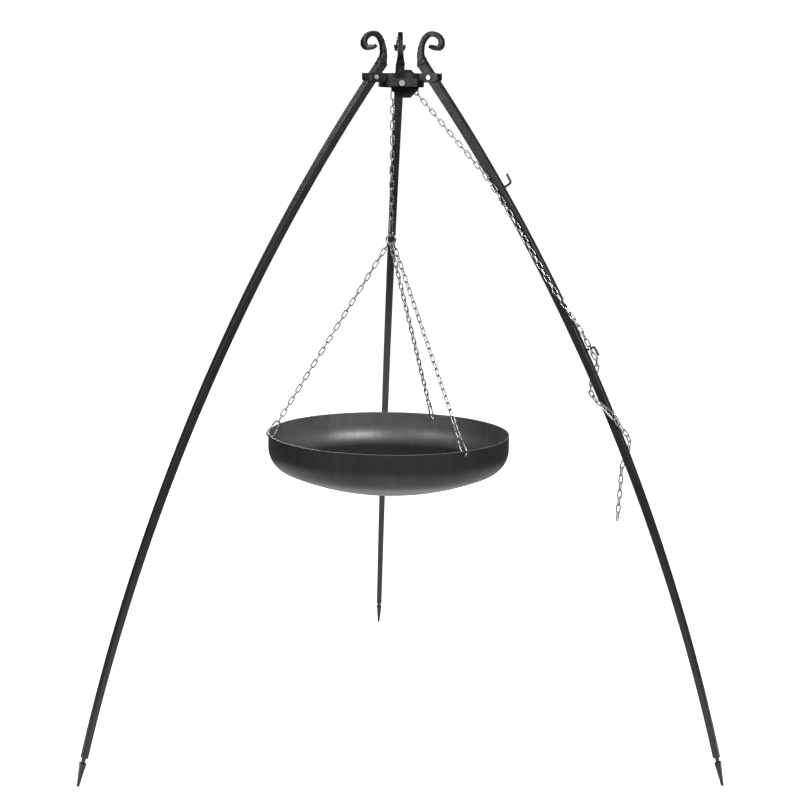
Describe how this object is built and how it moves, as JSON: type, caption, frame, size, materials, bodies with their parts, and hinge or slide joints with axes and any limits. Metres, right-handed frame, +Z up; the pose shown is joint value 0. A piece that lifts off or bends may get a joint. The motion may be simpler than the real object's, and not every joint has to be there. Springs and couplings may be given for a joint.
{
  "type": "tripod fire pan hanger",
  "caption": "Free-standing steel tripod with bowed legs, forged scrolls and spear feet, and a shallow round pan hung on chains from a pulley.",
  "frame": {"origin": "middle of the footprint of the three feet, on the floor", "axes": "+Z up; the rear leg stands towards +Y and the other two towards -Y, left and right"},
  "size_m": [1.4998, 1.2989, 1.7368],
  "materials": {
    "leg_paint": "satin black",
    "forged_paint": "satin black over forged steel",
    "crown_paint": "satin black",
    "wheel_steel": "turned steel",
    "pan_steel": "raw rolled steel, dull grey",
    "fastener_zinc": "bright zinc plate",
    "snap_zinc": "zinc plate",
    "chain_zinc": "zinc plate"
  },
  "bodies": {
    "crown": {"crown_ring": "crown_paint", "clevis_left": "crown_paint", "clevis_right": "crown_paint", "clevis_rear": "crown_paint", "front_strap": "crown_paint", "pulley_cheek_front": "crown_paint", "pulley_cheek_rear": "crown_paint", "pivot_bolts": "fastener_zinc", "pivot_nuts": "fastener_zinc", "pulley_axle": "fastener_zinc", "axle_nut": "fastener_zinc", "axle_sleeve": "fastener_zinc", "chain_over_pulley": "chain_zinc"},
    "left_leg": {"leg_left_tube": "leg_paint", "leg_left_scroll": "forged_paint", "leg_left_foot": "forged_paint"},
    "right_leg": {"leg_right_tube": "leg_paint", "leg_right_scroll": "forged_paint", "leg_right_foot": "forged_paint", "chain_hook_upper": "forged_paint", "chain_hook_lower": "forged_paint", "chain_run": "chain_zinc", "chain_wrap": "chain_zinc", "chain_tail": "chain_zinc", "tail_snap": "snap_zinc", "tail_snap_rivet": "snap_zinc"},
    "rear_leg": {"leg_rear_tube": "leg_paint", "leg_rear_scroll": "forged_paint", "leg_rear_foot": "forged_paint"},
    "pulley": {"pulley_wheel": "wheel_steel"},
    "upper_chain": {"chain_takeup": "chain_zinc"},
    "lower_chain": {"main_chain": "chain_zinc"},
    "main_hook": {"main_snap": "snap_zinc", "main_snap_rivet": "snap_zinc"},
    "main_gate": {"main_snap_gate": "snap_zinc"},
    "pan_set": {"gather_ring": "snap_zinc", "pan": "pan_steel", "hanger_chain_left": "chain_zinc", "hanger_chain_front": "chain_zinc", "hanger_chain_rear": "chain_zinc", "rim_snap_left": "snap_zinc", "rim_snap_front": "snap_zinc", "rim_snap_rear": "snap_zinc", "rim_snap_left_rivet": "snap_zinc", "rim_snap_front_rivet": "snap_zinc", "rim_snap_rear_rivet": "snap_zinc"},
    "tail_gate": {"tail_snap_gate": "snap_zinc"},
    "rim_gate_left": {"rim_snap_left_gate": "snap_zinc"},
    "rim_gate_front": {"rim_snap_front_gate": "snap_zinc"},
    "rim_gate_rear": {"rim_snap_rear_gate": "snap_zinc"}
  },
  "joints": [
    {"name": "left_leg_fold", "type": "hinge", "parent": "crown", "child": "left_leg", "pos_m": [-0.07101, -0.2565, 1.623], "axis": [0.5, -0.866, 0], "range_deg": [0, 8]},
    {"name": "right_leg_fold", "type": "hinge", "parent": "crown", "child": "right_leg", "pos_m": [0.07101, -0.2565, 1.623], "axis": [0.5, 0.866, 0], "range_deg": [0, 8], "deforming": ["chain_run"]},
    {"name": "rear_leg_fold", "type": "hinge", "parent": "crown", "child": "rear_leg", "pos_m": [0, -0.1335, 1.623], "axis": [-1, 0, 0], "range_deg": [0, 8]},
    {"name": "pan_swing", "type": "hinge", "parent": "crown", "child": "upper_chain", "pos_m": [-0.02, -0.2235, 1.609], "axis": [0, 1, 0], "range_deg": [-3, 3]},
    {"name": "pan_height", "type": "slide", "parent": "upper_chain", "child": "lower_chain", "axis": [0, 0, 1], "range_m": [0, 0.125], "deforming": ["chain_takeup"]},
    {"name": "pulley_spin", "type": "hinge", "parent": "crown", "child": "pulley", "pos_m": [-0.0015, -0.2235, 1.609], "axis": [0, 1, 0], "range_deg": [0, 407]},
    {"name": "hook_swing", "type": "hinge", "parent": "lower_chain", "child": "main_hook", "pos_m": [-0.02, -0.2235, 1.2859], "axis": [-0.9063, 0.4226, 0], "range_deg": [-3, 3]},
    {"name": "pan_turn", "type": "hinge", "parent": "main_hook", "child": "pan_set", "pos_m": [-0.02, -0.2235, 1.24212], "axis": [0, 0, 1], "range_deg": [-45, 45]},
    {"name": "main_gate_open", "type": "hinge", "parent": "main_hook", "child": "main_gate", "pos_m": [-0.01685, -0.21676, 1.27412], "axis": [-0.9063, 0.4226, 0], "range_deg": [0, 25], "stiffness_Nm_per_rad": 0.004, "springref_deg": -20.05},
    {"name": "tail_gate_open", "type": "hinge", "parent": "right_leg", "child": "tail_gate", "pos_m": [0.47202, -0.51461, 0.86679], "axis": [0.7376, 0.4906, 0.4639], "range_deg": [0, 25], "stiffness_Nm_per_rad": 0.004, "springref_deg": -20.05},
    {"name": "rim_gate_left_open", "type": "hinge", "parent": "pan_set", "child": "rim_gate_left", "pos_m": [-0.30756, -0.24541, 0.77718], "axis": [0.0767, -0.997, 0.007], "range_deg": [0, 25], "stiffness_Nm_per_rad": 0.004, "springref_deg": -20.05},
    {"name": "rim_gate_front_open", "type": "hinge", "parent": "pan_set", "child": "rim_gate_front", "pos_m": [0.14311, -0.46132, 0.77717], "axis": [0.8251, 0.565, -0.0071], "range_deg": [0, 25], "stiffness_Nm_per_rad": 0.004, "springref_deg": -20.05},
    {"name": "rim_gate_rear_open", "type": "hinge", "parent": "pan_set", "child": "rim_gate_rear", "pos_m": [0.10447, 0.03628, 0.77707], "axis": [-0.9018, 0.4321, 0], "range_deg": [0, 25], "stiffness_Nm_per_rad": 0.004, "springref_deg": -20.05}
  ],
  "couplings": [
    {"joint": "pulley_spin", "follows": "pan_height", "rad_per_m": 56.437}
  ]
}
